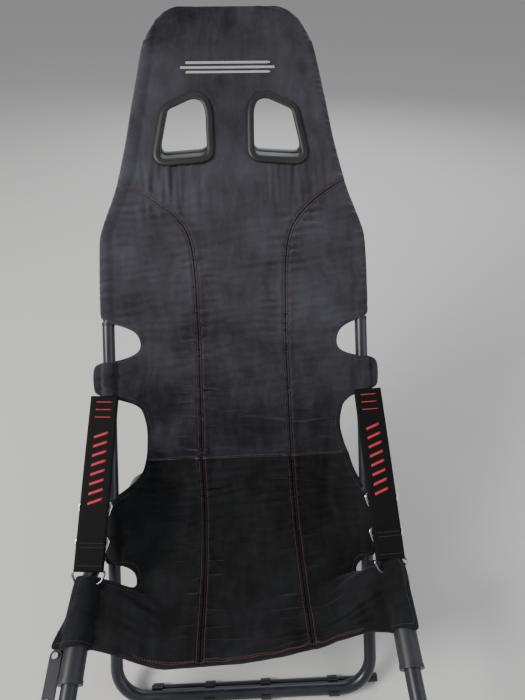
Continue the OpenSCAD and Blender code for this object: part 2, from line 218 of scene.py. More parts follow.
@dataclass(frozen=True)
class Sling:
    """The cover's middle surface, run by u: height along the back frame, then on to the hem."""

    hip_u: float = 432.0
    hem_u: float = 90.0
    stations: tuple[float, ...] = (
        1254, 1130, 1000, 870, 750, 672, 611, 548, 484, 432, 362, 300, 243, 216, 190, 150, 90)

    hem_back: tuple[Point2, ...] = (
        (-290, 0), (-220, 6), (-150, 14), (-60, 18), (0, 20), (60, 27), (110, 36), (150, 38),
        (200, 26), (240, 8), (290, 0))

    def tables(self) -> tuple[np.ndarray, np.ndarray]:
        """Middle and edge lines at the stations, each as rows of back and up."""
        b, a = SIDE.back, SIDE.arm
        middle = [b(1254), b(1130), b(1000), b(870), b(750), b(672), b(615, -1), (358, 436),
                  (327, 374), (300, 311), (262, 252), (206, 219), (148, 209), (104, 209),
                  (60, 212.5), (18, 217.5), (-44, 225)]
        edge = [b(1254), b(1130), b(1000), b(870), b(750), b(672), b(611), b(548), b(484), b(432),
                b(362, 2), b(300, 2), b(243, 2), b(216, 3), a(2, 0), a(44, 0), a(106, 0)]
        return np.array(middle, float), np.array(edge, float)

    def lines(self, u: np.ndarray) -> tuple[np.ndarray, np.ndarray]:
        """Middle and edge lines read at heights u."""
        places = np.interp(-u, [-s for s in self.stations], np.arange(len(self.stations)))
        middle, edge = self.tables()
        return spline(middle, places), spline(edge, places)

    def frame_at(self, u: np.ndarray, x: np.ndarray) -> tuple[np.ndarray, np.ndarray]:
        """Points and front-facing normals of the bare middle surface.

        Args:
            u: heights along the cover.
            x: distances across it.

        Returns:
            Points and unit normals as rows of x, back, up.
        """
        mid, edge = self.lines(u)
        mid2, edge2 = self.lines(u - 2.0)
        near, far = np.interp(u, [195, 262], [112, 165]), np.interp(u, [195, 262], [254, 226])
        share = smooth(near, far, np.abs(x))[:, None]
        sag = np.where(u < self.hip_u, (1 - (np.abs(x) / 210.0) ** 2), 0.0)
        here = mid * (1 - share) + edge * share
        after = mid2 * (1 - share) + edge2 * share
        drawn = np.interp(x, *zip(*self.hem_back)) * smooth(165.0, 90.0, u)
        here, after = (line + np.stack([drawn, -0.12 * drawn], 1) for line in (here, after))
        run = unit(after - here)
        normal = np.stack([np.zeros(len(u)), run[:, 1], -run[:, 0]], 1)
        normal[normal[:, 2] < 0] *= -1
        point = np.stack([x, here[:, 0], here[:, 1]], 1)
        point += normal * (-5.0 * sag * smooth(432.0, 250.0, u))[:, None]
        return point, normal


SLING = Sling()


@dataclass(frozen=True)
class Seams:
    """Where the cover is sewn: two long seams that start at the shoulders, and the hip seam."""

    left: tuple[Point2, ...] = (
        (932, -214), (928, -196), (915, -168), (896, -138), (868, -103), (838, -82), (790, -72),
        (700, -68), (600, -67), (500, -68), (432, -70), (340, -68), (240, -66), (150, -66), (90, -66))
    right: tuple[Point2, ...] = (
        (932, 214), (928, 200), (915, 176), (896, 150), (868, 122), (838, 104), (790, 95),
        (700, 92), (600, 92), (500, 95), (432, 99), (340, 103), (240, 107), (150, 110), (90, 111))

    def path(self, points: Sequence[Point2], step: float = 2.0) -> np.ndarray:
        """Seam line as evenly spaced rows of u and x."""
        fine = spline(points, np.linspace(0, len(points) - 1.001, 900))
        run = run_length(fine)
        at = np.arange(0, run[-1], step)
        return np.stack([np.interp(at, run, fine[:, 0]), np.interp(at, run, fine[:, 1])], 1)


SEAMS = Seams()


@dataclass(frozen=True)
class Outline:
    """Half widths of the cover on its left and right, from u high to low."""

    rows: tuple[tuple[float, float, float], ...]
    step: float = 2.7

    def sampled(self) -> np.ndarray:
        """Rows of u, left and right half width, close enough for the notches to look round."""
        keys = np.array(self.rows, float)
        fine = spline(keys, np.linspace(0, len(keys) - 1.0001, 4000))
        moved = np.abs(np.diff(fine, axis=0))
        run = np.concatenate([[0], np.cumsum(np.maximum(moved[:, 0], moved[:, 1:].max(axis=1) * 0.8))])
        at = np.linspace(0, run[-1], int(run[-1] / self.step))
        out = np.stack([np.interp(at, run, fine[:, i]) for i in range(3)], 1)
        out[:, 0] = np.minimum.accumulate(out[:, 0])
        return out


BACK_OUTLINE = Outline((
    (1254, 62, 62), (1253, 86, 86), (1247, 106, 106), (1235, 121, 121), (1217, 135, 135),
    (1194, 148, 148), (1152, 163, 162), (1085, 178, 177), (1009, 192, 191), (934, 209, 209),
    (880, 226, 225), (831, 240, 240), (745, 244, 245), (705, 244, 245), (691, 241, 243),
    (682, 231, 235), (676, 216, 224), (669, 197, 207), (662, 184, 196), (652, 177, 189),
    (638, 174, 186), (625, 178, 188), (617, 190, 197), (612, 210, 214), (609, 234, 236),
    (605, 252, 252), (597, 259, 259), (580, 261, 261), (562, 260, 260), (553, 257, 257),
    (547, 246, 246), (542, 226, 229), (535, 205, 212), (526, 187, 201), (514, 176, 194),
    (484, 170, 190), (455, 172, 196), (432, 176, 204)))

SEAT_OUTLINE = Outline((
    (434, 176, 204), (412, 182, 209), (392, 194, 216), (374, 213, 226), (362, 230, 237),
    (353, 241, 244), (340, 247, 247), (300, 248, 248), (262, 247, 247), (251, 241, 243),
    (244, 226, 233), (239, 206, 222), (232, 193, 213), (222, 188, 209), (212, 187, 210),
    (205, 189, 222), (200, 197, 246), (196, 216, 264), (192, 246, 270), (187, 264, 272),
    (172, 271, 274), (140, 279, 276), (112, 291, 277), (101, 293, 275), (96, 286, 268),
    (93, 262, 250), (91, 226, 232), (90, 200, 212)))


@dataclass(frozen=True)
class Thickness:
    """Half thickness of the cover: thick where it is a sock on the upper tube, thin below."""

    sock: float = 12.0
    panel: float = 4.6
    tube: float = 14.0
    wrap: float = 14.5
    flap: float = 22.5

    def tube_x(self, u: np.ndarray) -> np.ndarray:
        """Distance from the middle to the tube that the cover's edge wraps."""
        upper = np.interp(u, [672, 835, 950, 1238], [231, 231, 186, 136])
        return np.where(u < 200, SIDE.arm_x, upper)

    def at(self, u: np.ndarray, x: np.ndarray, w: np.ndarray) -> np.ndarray:
        """Half thickness at u and x where the cover is w wide to that side."""
        body = self.panel + (self.sock - self.panel) * smooth(652, 690, u)
        edge = np.clip((np.abs(x) - (w - body)) / body, 0.0, 1.0)
        flat = body * np.sqrt(np.maximum(0.0, 1.0 - edge**2))
        radius = np.where(u > 640, self.tube, np.where(u > 200, self.wrap, self.flap))
        away = (np.abs(x) - self.tube_x(u)) / radius
        bump = radius * np.sqrt(np.maximum(0.0, 1.0 - away**2))
        bump = np.where(w > self.tube_x(u) + radius * 0.5, bump, np.minimum(bump, flat))
        return (flat**4 + bump**4) ** 0.25


THICK = Thickness()


class Cloth:
    """Folds, seams and gathers, as heights in millimetres on the cover's front."""

    def __init__(self) -> None:
        """Reads the seam lines once."""
        self.long_seams = [SEAMS.path(SEAMS.left), SEAMS.path(SEAMS.right)]
        self.broad = Ripple(3, 90.0, 260.0)
        self.fine = Ripple(5, 30.0, 80.0)
        self.pucker = Ripple(8, 15.0, 60.0)
        self.across = Ripple(11, 34.0, 330.0)
        self.ruched = Ripple(23, 21.0, 110.0)
        self.pleats = Ripple(21, 320.0, 19.0)
        self.hem_folds = Ripple(17, 400.0, 46.0)

    def seam_distance(self, u: np.ndarray, x: np.ndarray) -> np.ndarray:
        """Distance from each point to the nearest long seam."""
        left, right = (nearest(line[::3], u, x) for line in self.long_seams)
        return np.minimum(left, right)

    def height(self, u: np.ndarray, x: np.ndarray, edge_gap: np.ndarray) -> np.ndarray:
        """Height of the front above the plain surface.

        Args:
            u: heights along the cover.
            x: distances across it.
            edge_gap: distance to the nearest cut edge.

        Returns:
            Heights in millimetres.
        """
        d = self.seam_distance(u, x)
        hip = np.abs(u - SLING.hip_u)
        rim = np.exp(-edge_gap / 16.0)
        sewn = -3.2 * hump(d, 0.0, 3.4) + 2.4 * hump(d, 8.5, 4.0)
        sewn += 0.6 * hump(hip, 8.0, 4.0) - 1.5 * hump(hip, 0.0, 3.0)
        below = smooth(930, 860, u)
        pulled = np.exp(-d / 34.0) + 0.55 * np.exp(-edge_gap / 45.0) * smooth(640, 700, u)
        seat_lines = smooth(250, 330, u) * smooth(428, 390, u)
        ruching = below * (4.2 * pulled + 0.8) + 2.4 * seat_lines
        off_seam = smooth(3.0, 13.0, d)
        gathers = self.ruched.at(u, x) * ruching * (0.25 + 0.75 * off_seam)
        yoke = smooth(1010, 930, u) * smooth(835, 900, u) * smooth(185, 150, np.abs(x))
        gathers += 2.2 * self.pleats.at(u, x) * yoke * (0.25 + smooth(40, 80, np.abs(x))) * off_seam
        gathers += 0.8 * self.pucker.at(x, u) * np.exp(-hip / 16.0)
        gathers += 1.25 * rim * self.fine.at(u * 1.6, x * 1.6)
        gathers += 2.2 * self.hem_folds.at(u, x) * np.exp(-np.maximum(0.0, u - SLING.hem_u) / 55.0)
        loose = smooth(900, 560, u) * 0.75 + 0.25
        folds = loose * (2.2 * self.broad.at(u, x) + 1.7 * self.across.at(u, x)) + 0.4 * self.fine.at(u, x)
        bolt_u, bolt_x, reach = SIDE.pivot_up, 213.0, 17.0
        folds += 8.0 * hump(np.abs(x), bolt_x, reach) * hump(u, bolt_u, reach)
        flat_head = 1.0 - 0.75 * smooth(960, 1010, u)
        return (folds * flat_head + gathers + sewn) * smooth(0.0, 7.0, edge_gap)


CLOTH = Cloth()


def half_width(table: np.ndarray, u: np.ndarray, x: np.ndarray) -> np.ndarray:
    """Half width on the side of x, read from a sampled outline."""
    left = np.interp(-u, -table[:, 0], table[:, 1])
    right = np.interp(-u, -table[:, 0], table[:, 2])
    return np.where(x < 0, left, right)


def edge_gap_of(table: np.ndarray, u: np.ndarray, x: np.ndarray) -> np.ndarray:
    """Distance from points to the outline's nearest cut edge."""
    left = np.stack([table[:, 0], -table[:, 1]], 1)
    right = np.stack([table[:, 0], table[:, 2]], 1)
    return nearest(np.concatenate([left, right])[::2], u, x)


def on_cover(table: np.ndarray, u: np.ndarray, x: np.ndarray, front: bool = True,
             lift: float = 0.0) -> np.ndarray:
    """Points on the cover's front or rear.

    Args:
        table: sampled outline of the piece.
        u: heights along the cover.
        x: distances across it.
        front: True for the side that the driver leans on.
        lift: distance to stand off the cloth.

    Returns:
        Rows of x, y, z in the model's metres.
    """
    w = half_width(table, u, x)
    point, normal = SLING.frame_at(u, x)
    gap = edge_gap_of(table, u, x)
    depth = THICK.at(u, x, w)
    if front:
        depth = depth + CLOTH.height(u, x, gap) + lift
    else:
        depth = -depth - 0.35 * np.maximum(-2.0, CLOTH.height(u, x, gap)) - lift
    depth = depth * end_taper(table, u, 6.0)
    moved = point + normal * depth[:, None]
    moved[:, 1] += SIDE.origin_y()
    return moved * MM


def end_taper(table: np.ndarray, u: np.ndarray, radius: float) -> np.ndarray:
    """Share of the thickness kept near the piece's first and last row, so both ends round off."""
    near = np.minimum(table[0, 0] - u, u - table[-1, 0])
    t = np.clip(1.0 - near / radius, 0.0, 1.0)
    return np.sqrt(np.maximum(0.02, 1.0 - t**2))


# ---------------------------------------------------------------- shader groups


class Group:
    """A shader node group with named sockets, built once and placed in each material."""

    def __init__(self, name: str, inputs: dict[str, float], outputs: Iterable[str]) -> None:
        """Makes the group with its sockets.

        Args:
            name: name of the group.
            inputs: value sockets with their defaults.
            outputs: value sockets that it puts out.
        """
        self.tree = bpy.data.node_groups.new(name, "ShaderNodeTree")
        for label, value in inputs.items():
            socket = self.tree.interface.new_socket(label, in_out="INPUT", socket_type="NodeSocketFloat")
            socket.default_value = value
        self.tree.interface.new_socket("Vector", in_out="INPUT", socket_type="NodeSocketVector")
        for label in outputs:
            self.tree.interface.new_socket(label, in_out="OUTPUT", socket_type="NodeSocketFloat")
        self.source = self.tree.nodes.new("NodeGroupInput")
        self.sink = self.tree.nodes.new("NodeGroupOutput")

    def link(self, a: bpy.types.NodeSocket, b: bpy.types.NodeSocket) -> None:
        """Joins two sockets."""
        self.tree.links.new(a, b)

    def math(self, operation: str, a: object, b: object = 0.0) -> bpy.types.NodeSocket:
        """Adds a math node on sockets or numbers and returns its result."""
        return math_node(self.tree, operation, a, b)


def add_node(tree: Nodes, kind: str, **settings: object) -> bpy.types.Node:
    """Adds a node to a tree and sets its plain properties."""
    node = tree.nodes.new(kind)
    for key, value in settings.items():
        setattr(node, key, value)
    return node


def math_node(tree: Nodes, operation: str, a: object, b: object = 0.0) -> bpy.types.NodeSocket:
    """Adds a math node whose inputs are sockets or numbers."""
    node = add_node(tree, "ShaderNodeMath", operation=operation)
    for i, value in enumerate((a, b)):
        if isinstance(value, bpy.types.NodeSocket):
            tree.links.new(value, node.inputs[i])
        else:
            node.inputs[i].default_value = value
    return node.outputs[0]


def noise(tree: Nodes, vector: bpy.types.NodeSocket, scale: float, detail: float = 3.0,
          rough: float = 0.55, stretch: Sequence[float] = (1, 1, 1)) -> bpy.types.NodeSocket:
    """Noise value on a vector, with its pattern stretched along the axes."""
    mapping = add_node(tree, "ShaderNodeMapping")
    mapping.inputs["Scale"].default_value = stretch
    tree.links.new(vector, mapping.inputs["Vector"])
    node = add_node(tree, "ShaderNodeTexNoise")
    node.inputs["Scale"].default_value = scale
    node.inputs["Detail"].default_value = detail
    node.inputs["Roughness"].default_value = rough
    tree.links.new(mapping.outputs[0], node.inputs["Vector"])
    return node.outputs["Fac"]


def make_nap_and_chest_light_group() -> Group:
    """Brushed nap of suede: patches lying light or dark, brush strokes, fibre speckle; also painted light,
    a paler band at chest height.
    """
    g = Group("nap_with_painted_chest_light", {"Patch": 1.0, "Stroke": 1.0, "Lift": 0.0}, ("Tone", "Height"))
    v = g.source.outputs["Vector"]
    warp = add_node(g.tree, "ShaderNodeTexNoise")
    warp.inputs["Scale"].default_value = 9.0
    g.link(v, warp.inputs["Vector"])
    push = add_node(g.tree, "ShaderNodeVectorMath", operation="SCALE")
    push.inputs["Scale"].default_value = 0.06
    g.link(warp.outputs["Color"], push.inputs[0])
    moved = add_node(g.tree, "ShaderNodeVectorMath", operation="ADD")
    g.link(v, moved.inputs[0])
    g.link(push.outputs[0], moved.inputs[1])
    warped = moved.outputs[0]
    patch = noise(g.tree, warped, 11.0, 4.0, 0.6)
    stroke = noise(g.tree, warped, 60.0, 3.0, 0.6, (1.0, 0.25, 0.25))
    speck = noise(g.tree, v, 900.0, 2.0, 0.7)
    a = g.math("MULTIPLY", g.math("SUBTRACT", patch, 0.5), g.source.outputs["Patch"])
    b = g.math("MULTIPLY", g.math("SUBTRACT", stroke, 0.5), g.source.outputs["Stroke"])
    c = g.math("MULTIPLY", g.math("SUBTRACT", speck, 0.5), 0.55)
    split = add_node(g.tree, "ShaderNodeSeparateXYZ")
    g.link(v, split.inputs[0])
    # Painted light: the suede is made paler in a band round chest height, where the light falls most.
    chest_z, reach = 0.70, 0.30
    away = g.math("ABSOLUTE", g.math("DIVIDE", g.math("SUBTRACT", split.outputs[2], chest_z), reach))
    chest_light_share = g.math("MAXIMUM", g.math("SUBTRACT", 1.0, g.math("POWER", away, 2.0)), 0.0)
    painted_chest_light = g.math("MULTIPLY", chest_light_share, g.source.outputs["Lift"])
    tone = g.math("ADD", g.math("ADD", g.math("ADD", a, b), g.math("ADD", c, 0.5)), painted_chest_light)
    g.link(tone, g.sink.inputs["Tone"])
    height = g.math("ADD", g.math("MULTIPLY", speck, 0.6), g.math("MULTIPLY", stroke, 0.4))
    g.link(height, g.sink.inputs["Height"])
    return g


def make_weave_group() -> Group:
    """Webbing weave on a UV map in metres: ribs along the strap crossed by fine yarns."""
    g = Group("webbing_weave", {"Rib": 1900.0, "Yarn": 2600.0}, ("Height", "Tone"))
    split = add_node(g.tree, "ShaderNodeSeparateXYZ")
    g.link(g.source.outputs["Vector"], split.inputs[0])
    x, y = split.outputs[0], split.outputs[1]
    rib = g.math("SINE", g.math("MULTIPLY", x, g.source.outputs["Rib"]))
    shift = g.math("MULTIPLY", g.math("SIGN", rib), math.pi / 2)
    yarn = g.math("SINE", g.math("ADD", g.math("MULTIPLY", y, g.source.outputs["Yarn"]), shift))
    height = g.math("MULTIPLY", g.math("ABSOLUTE", rib), g.math("ADD", g.math("MULTIPLY", yarn, 0.3), 0.7))
    g.link(height, g.sink.inputs["Height"])
    grain = noise(g.tree, g.source.outputs["Vector"], 320.0, 2.0)
    g.link(g.math("ADD", g.math("MULTIPLY", height, 0.5), g.math("MULTIPLY", grain, 0.5)),
           g.sink.inputs["Tone"])
    return g


def make_grain_group() -> Group:
    """Fine grain with wider mottling, for powder coat and moulded plastic."""
    g = Group("surface_grain", {"Fine": 900.0, "Wide": 18.0}, ("Height", "Mottle", "Dust"))
    v = g.source.outputs["Vector"]
    for scale, detail, out in (("Fine", 2.0, "Height"), ("Wide", 5.0, "Mottle")):
        node = add_node(g.tree, "ShaderNodeTexNoise")
        node.inputs["Detail"].default_value = detail
        g.link(v, node.inputs["Vector"])
        g.link(g.source.outputs[scale], node.inputs["Scale"])
        g.link(node.outputs["Fac"], g.sink.inputs[out])
    dust = noise(g.tree, v, 420.0, 4.0, 0.8)
    g.link(g.math("GREATER_THAN", dust, 0.69), g.sink.inputs["Dust"])
    return g


def make_wear_group() -> Group:
    """Rubbed and scratched places: streaks that break through where wide noise is high."""
    g = Group("rubbed_wear", {"Amount": 0.5}, ("Mask",))
    v = g.source.outputs["Vector"]
    streak = noise(g.tree, v, 260.0, 4.0, 0.7, (0.25, 1.0, 1.0))
    place = noise(g.tree, v, 26.0, 2.0, 0.5)
    both = g.math("MULTIPLY", streak, place)
    limit = g.math("SUBTRACT", 0.62, g.math("MULTIPLY", g.source.outputs["Amount"], 0.4))
    edge = g.math("SUBTRACT", both, limit)
    g.link(g.math("MINIMUM", g.math("MAXIMUM", g.math("MULTIPLY", edge, 14.0), 0.0), 1.0),
           g.sink.inputs["Mask"])
    return g


# ---------------------------------------------------------------- finishes


@dataclass(frozen=True)
class Finish:
    """Common part of every finish: a dark and a light colour and the shader's constants."""

    name: str
    dark: tuple[float, float, float]
    light: tuple[float, float, float]
    roughness: float = 0.6
    metallic: float = 0.0
    coat: float = 0.0
    sheen: float = 0.0
    sheen_tint: tuple[float, float, float] = (1.0, 1.0, 1.0)

    def start(self) -> tuple[bpy.types.Material, Nodes, bpy.types.Node]:
        """Makes the material with its Principled shader and sets the shader's constants."""
        material = bpy.data.materials.new(self.name)
        material.use_nodes = True
        tree = material.node_tree
        shader = tree.nodes["Principled BSDF"]
        constants = {"Roughness": self.roughness, "Metallic": self.metallic,
                     "Coat Weight": self.coat, "Coat Roughness": 0.25, "Sheen Weight": self.sheen,
                     "Sheen Roughness": 0.45, "Sheen Tint": (*self.sheen_tint, 1.0)}
        for label, value in constants.items():
            shader.inputs[label].default_value = value
        return material, tree, shader

    def place_group(self, tree: Nodes, group: Group, vector: bpy.types.NodeSocket,
                    **values: float) -> bpy.types.Node:
        """Puts a node group in the material, fed by a vector and its own values."""
        node = add_node(tree, "ShaderNodeGroup", node_tree=group.tree)
        tree.links.new(vector, node.inputs["Vector"])
        for label, value in values.items():
            node.inputs[label].default_value = value
        return node

    def colour(self, tree: Nodes, shader: bpy.types.Node, fac: bpy.types.NodeSocket,
               low: float = 0.25, high: float = 0.75) -> bpy.types.NodeSocket:
        """Mixes dark and light by a mask into the base colour."""
        ramp = add_node(tree, "ShaderNodeValToRGB")
        stops = ((low, self.dark), (high, self.light))
        for stop, (position, colour) in zip(ramp.color_ramp.elements, stops):
            stop.position = position
            stop.color = (*colour, 1)
        tree.links.new(fac, ramp.inputs[0])
        tree.links.new(ramp.outputs[0], shader.inputs["Base Color"])
        return ramp.outputs[0]

    def bump(self, tree: Nodes, shader: bpy.types.Node, height: bpy.types.NodeSocket,
             strength: float, depth: float) -> None:
        """Feeds a height through a bump node to the shader's normal."""
        node = add_node(tree, "ShaderNodeBump")
        node.inputs["Strength"].default_value = strength
        node.inputs["Distance"].default_value = depth
        tree.links.new(height, node.inputs["Height"])
        tree.links.new(node.outputs[0], shader.inputs["Normal"])

    def object_vector(self, tree: Nodes) -> bpy.types.NodeSocket:
        """Object coordinates."""
        return add_node(tree, "ShaderNodeTexCoord").outputs["Object"]


@dataclass(frozen=True)
class Suede(Finish):
    """Brushed microsuede, paler by lift at chest height; that paler band is painted light."""

    # painted light: how much paler the band at chest height is made
    lift: float = 0.0

    def build(self, nap_and_light: Group) -> bpy.types.Material:
        """Builds the material on the nap group, which also paints the paler band of light at chest height.
        """
        material, tree, shader = self.start()
        group = self.place_group(tree, nap_and_light, self.object_vector(tree), Patch=0.7, Stroke=0.4,
                                 Lift=self.lift)
        self.colour(tree, shader, group.outputs["Tone"], 0.39, 1.0)
        self.bump(tree, shader, group.outputs["Height"], 0.35, 0.0006)
        shader.inputs["Specular IOR Level"].default_value = 0.25
        return material


@dataclass(frozen=True)
class Webbing(Finish):
    """Woven strap on its own UV map."""

    def build(self, weave: Group) -> bpy.types.Material:
        """Builds the material on the weave group."""
        material, tree, shader = self.start()
        uv = add_node(tree, "ShaderNodeUVMap", uv_map="weave").outputs[0]
        group = self.place_group(tree, weave, uv)
        self.colour(tree, shader, group.outputs["Tone"], 0.15, 0.8)
        self.bump(tree, shader, group.outputs["Height"], 0.5, 0.0005)
        shader.inputs["Specular IOR Level"].default_value = 0.12
        return material


@dataclass(frozen=True)
class Coated(Finish):
    """Powder coat or moulded plastic with grain and a little wear."""

    bare: tuple[float, float, float] = (0.3, 0.3, 0.31)
    wear: float = 0.1
    grain: float = 0.18

    def build(self, grain: Group, wear: Group) -> bpy.types.Material:
        """Builds the material on the grain and wear groups."""
        material, tree, shader = self.start()
        vector = self.object_vector(tree)
        surface = self.place_group(tree, grain, vector)
        base = self.colour(tree, shader, surface.outputs["Mottle"], 0.3, 0.7)
        worn = self.place_group(tree, wear, vector, Amount=self.wear)
        mix = add_node(tree, "ShaderNodeMix", data_type="RGBA")
        tree.links.new(worn.outputs["Mask"], mix.inputs["Factor"])
        tree.links.new(base, mix.inputs["A"])
        mix.inputs["B"].default_value = (*self.bare, 1)
        tree.links.new(mix.outputs["Result"], shader.inputs["Base Color"])
        rough = math_node(tree, "MULTIPLY", surface.outputs["Mottle"], 0.22)
        tree.links.new(math_node(tree, "ADD", rough, self.roughness - 0.11), shader.inputs["Roughness"])
        self.bump(tree, shader, surface.outputs["Height"], self.grain, 0.0003)
        return material


@dataclass(frozen=True)
class Thread(Finish):
    """Twisted sewing thread."""

    def build(self) -> bpy.types.Material:
        """Builds the material with a fine twist across its colour."""
        material, tree, shader = self.start()
        grain = noise(tree, self.object_vector(tree), 1500.0, 2.0)
        self.colour(tree, shader, grain, 0.3, 0.7)
        self.bump(tree, shader, grain, 0.4, 0.0002)
        return material


class Palette:
    """Every finish of the seat."""

    def __init__(self) -> None:
        """Builds the shader groups and then the materials."""
        nap_and_light, weave = make_nap_and_chest_light_group(), make_weave_group()
        grain, wear = make_grain_group(), make_wear_group()
        lilac = (0.78, 0.72, 0.92)
        # lift=0.27 paints light on the back cover: a paler band at chest height.
        self.suede = Suede("suede_black", (0.005, 0.005, 0.006), (0.060, 0.058, 0.071),
                           0.92, sheen=0.3, sheen_tint=lilac, lift=0.27).build(nap_and_light)
        # Darker copy of the suede with less sheen, for the seat part: painted shade, as the seat faces
        # away from the light.
        self.suede_shaded = Suede("suede_black_painted_shade", (0.0025, 0.0026, 0.0028), (0.026, 0.027, 0.029),
                                0.92, sheen=0.08, sheen_tint=lilac).build(nap_and_light)
        self.webbing = Webbing("webbing_black", (0.0018, 0.0018, 0.0018), (0.0075, 0.0072, 0.0072),
                               0.66, sheen=0.03).build(weave)
        self.print_red = Webbing("woven_red", (0.36, 0.02, 0.03), (0.72, 0.06, 0.09), 0.6).build(weave)
        self.tube = Coated("tube_black", (0.010, 0.011, 0.014), (0.020, 0.022, 0.028), 0.36,
                           coat=0.15, wear=0.12).build(grain, wear)
        self.sleeve = Coated("sleeve_black", (0.012, 0.012, 0.014), (0.028, 0.028, 0.032), 0.42,
                             wear=0.42, bare=(0.35, 0.34, 0.33)).build(grain, wear)
        self.plastic = Coated("plastic_black", (0.008, 0.008, 0.009), (0.018, 0.018, 0.02), 0.5,
                              wear=0.05, grain=0.4).build(grain, wear)
        self.zinc = Coated("zinc_plate", (0.42, 0.42, 0.44), (0.62, 0.62, 0.64), 0.34, metallic=1.0,
                           wear=0.2, bare=(0.25, 0.24, 0.22)).build(grain, wear)
        self.chrome = Coated("chrome_wire", (0.62, 0.62, 0.64), (0.8, 0.8, 0.82), 0.16, metallic=1.0,
                             wear=0.06, grain=0.05).build(grain, wear)
        self.dark_chrome = Coated("dark_chrome_wire", (0.16, 0.16, 0.17), (0.26, 0.26, 0.27), 0.24,
                                  metallic=1.0, wear=0.06, grain=0.05).build(grain, wear)
        self.thread_wine = Thread("thread_wine", (0.045, 0.014, 0.014), (0.12, 0.04, 0.035), 0.7,
                                  sheen=0.3).build()
        self.thread_black = Thread("thread_black", (0.01, 0.01, 0.012), (0.04, 0.04, 0.045), 0.7,
                                   sheen=0.2).build()
        self.thread_silver = Thread("thread_silver", (0.42, 0.42, 0.42), (0.72, 0.72, 0.71), 0.45,
                                    sheen=0.4).build()
        self.floor = Thread("floor_pale", (0.60, 0.59, 0.57), (0.66, 0.65, 0.63), 0.75).build()


# ---------------------------------------------------------------- mesh helpers


def mesh_piece(name: str, points: np.ndarray, faces: Sequence[Sequence[int]],
               material: bpy.types.Material) -> bpy.types.Object:
    """Makes a smooth-shaded piece at the origin from points and faces.

    Args:
        name: name of the piece.
        points: rows of x, y, z in metres.
        faces: corner numbers of each face.
        material: its finish.

    Returns:
        The new object.
    """
    mesh = bpy.data.meshes.new(name)
    mesh.from_pydata([tuple(p) for p in points], [], [tuple(f) for f in faces])
    mesh.materials.append(material)
    mesh.update()
    piece = bpy.data.objects.new(name, mesh)
    bpy.context.scene.collection.objects.link(piece)
    mesh.shade_smooth()
    return piece


def tidy_shell(piece: bpy.types.Object, merge: float = 1e-6) -> None:
    """Merges doubles, unless merge is 0, and points a closed shell's faces outwards."""
    shell = bmesh.new()
    shell.from_mesh(piece.data)
    if merge:
        bmesh.ops.remove_doubles(shell, verts=shell.verts, dist=merge)
    bmesh.ops.recalc_face_normals(shell, faces=shell.faces)
    for face in shell.faces:
        face.smooth = True
    shell.to_mesh(piece.data)
    shell.free()


def loft(rows: int, cols: int) -> Faces:
    """Faces that join a stack of closed rings of equal length."""
    return [(i * cols + j, i * cols + (j + 1) % cols, (i + 1) * cols + (j + 1) % cols, (i + 1) * cols + j)
            for i in range(rows - 1) for j in range(cols)]


def closed_loft(rows: int, cols: int) -> Faces:
    """Faces of flat rings, a front and a rear run each, with the first and last ring closed across."""
    faces = loft(rows, cols)
    for row in (0, (rows - 1) * cols):
        faces += [(row + j, row + j + 1, row + cols - 2 - j, row + cols - 1 - j)
                  for j in range(cols // 2 - 1)]
    return faces


def joined(parts: Iterable[tuple[np.ndarray, Faces]]) -> tuple[np.ndarray, Faces]:
    """Joins several meshes, each given as points and faces, into one."""
    points, faces, used = [], [], 0
    for own_points, own_faces in parts:
        points.append(own_points)
        faces += [tuple(used + k for k in face) for face in own_faces]
        used += len(own_points)
    return np.concatenate(points), faces


# ---------------------------------------------------------------- the cover


@dataclass
class CoverPart:
    """One sewn part of the cover, lofted as a closed shell round its outline."""

    name: str
    outline: Outline
    columns: int = 190

    def rings(self) -> np.ndarray:
        """Closed rings round the part, front and rear, from its first row to its last."""
        table = self.outline.sampled()
        angle = np.linspace(-math.pi / 2, math.pi / 2, self.columns)
        across = np.sin(angle) * 0.35 + angle / (math.pi / 2) * 0.65
        u = np.repeat(table[:, 0], self.columns)
        x = np.where(across[None, :] < 0, across[None, :] * table[:, 1:2], across[None, :] * table[:, 2:3])
        x = x.ravel()
        front = on_cover(table, u, x).reshape(len(table), self.columns, 3)
        rear = on_cover(table, u, x, front=False).reshape(len(table), self.columns, 3)
        return np.concatenate([front, rear[:, ::-1]], axis=1)

    def build(self, material: bpy.types.Material) -> bpy.types.Object:
        """Makes the part's shell with both ends closed."""
        rings = self.rings()
        piece = mesh_piece(self.name, rings.reshape(-1, 3), closed_loft(*rings.shape[:2]), material)
        tidy_shell(piece, 1e-5)
        return piece


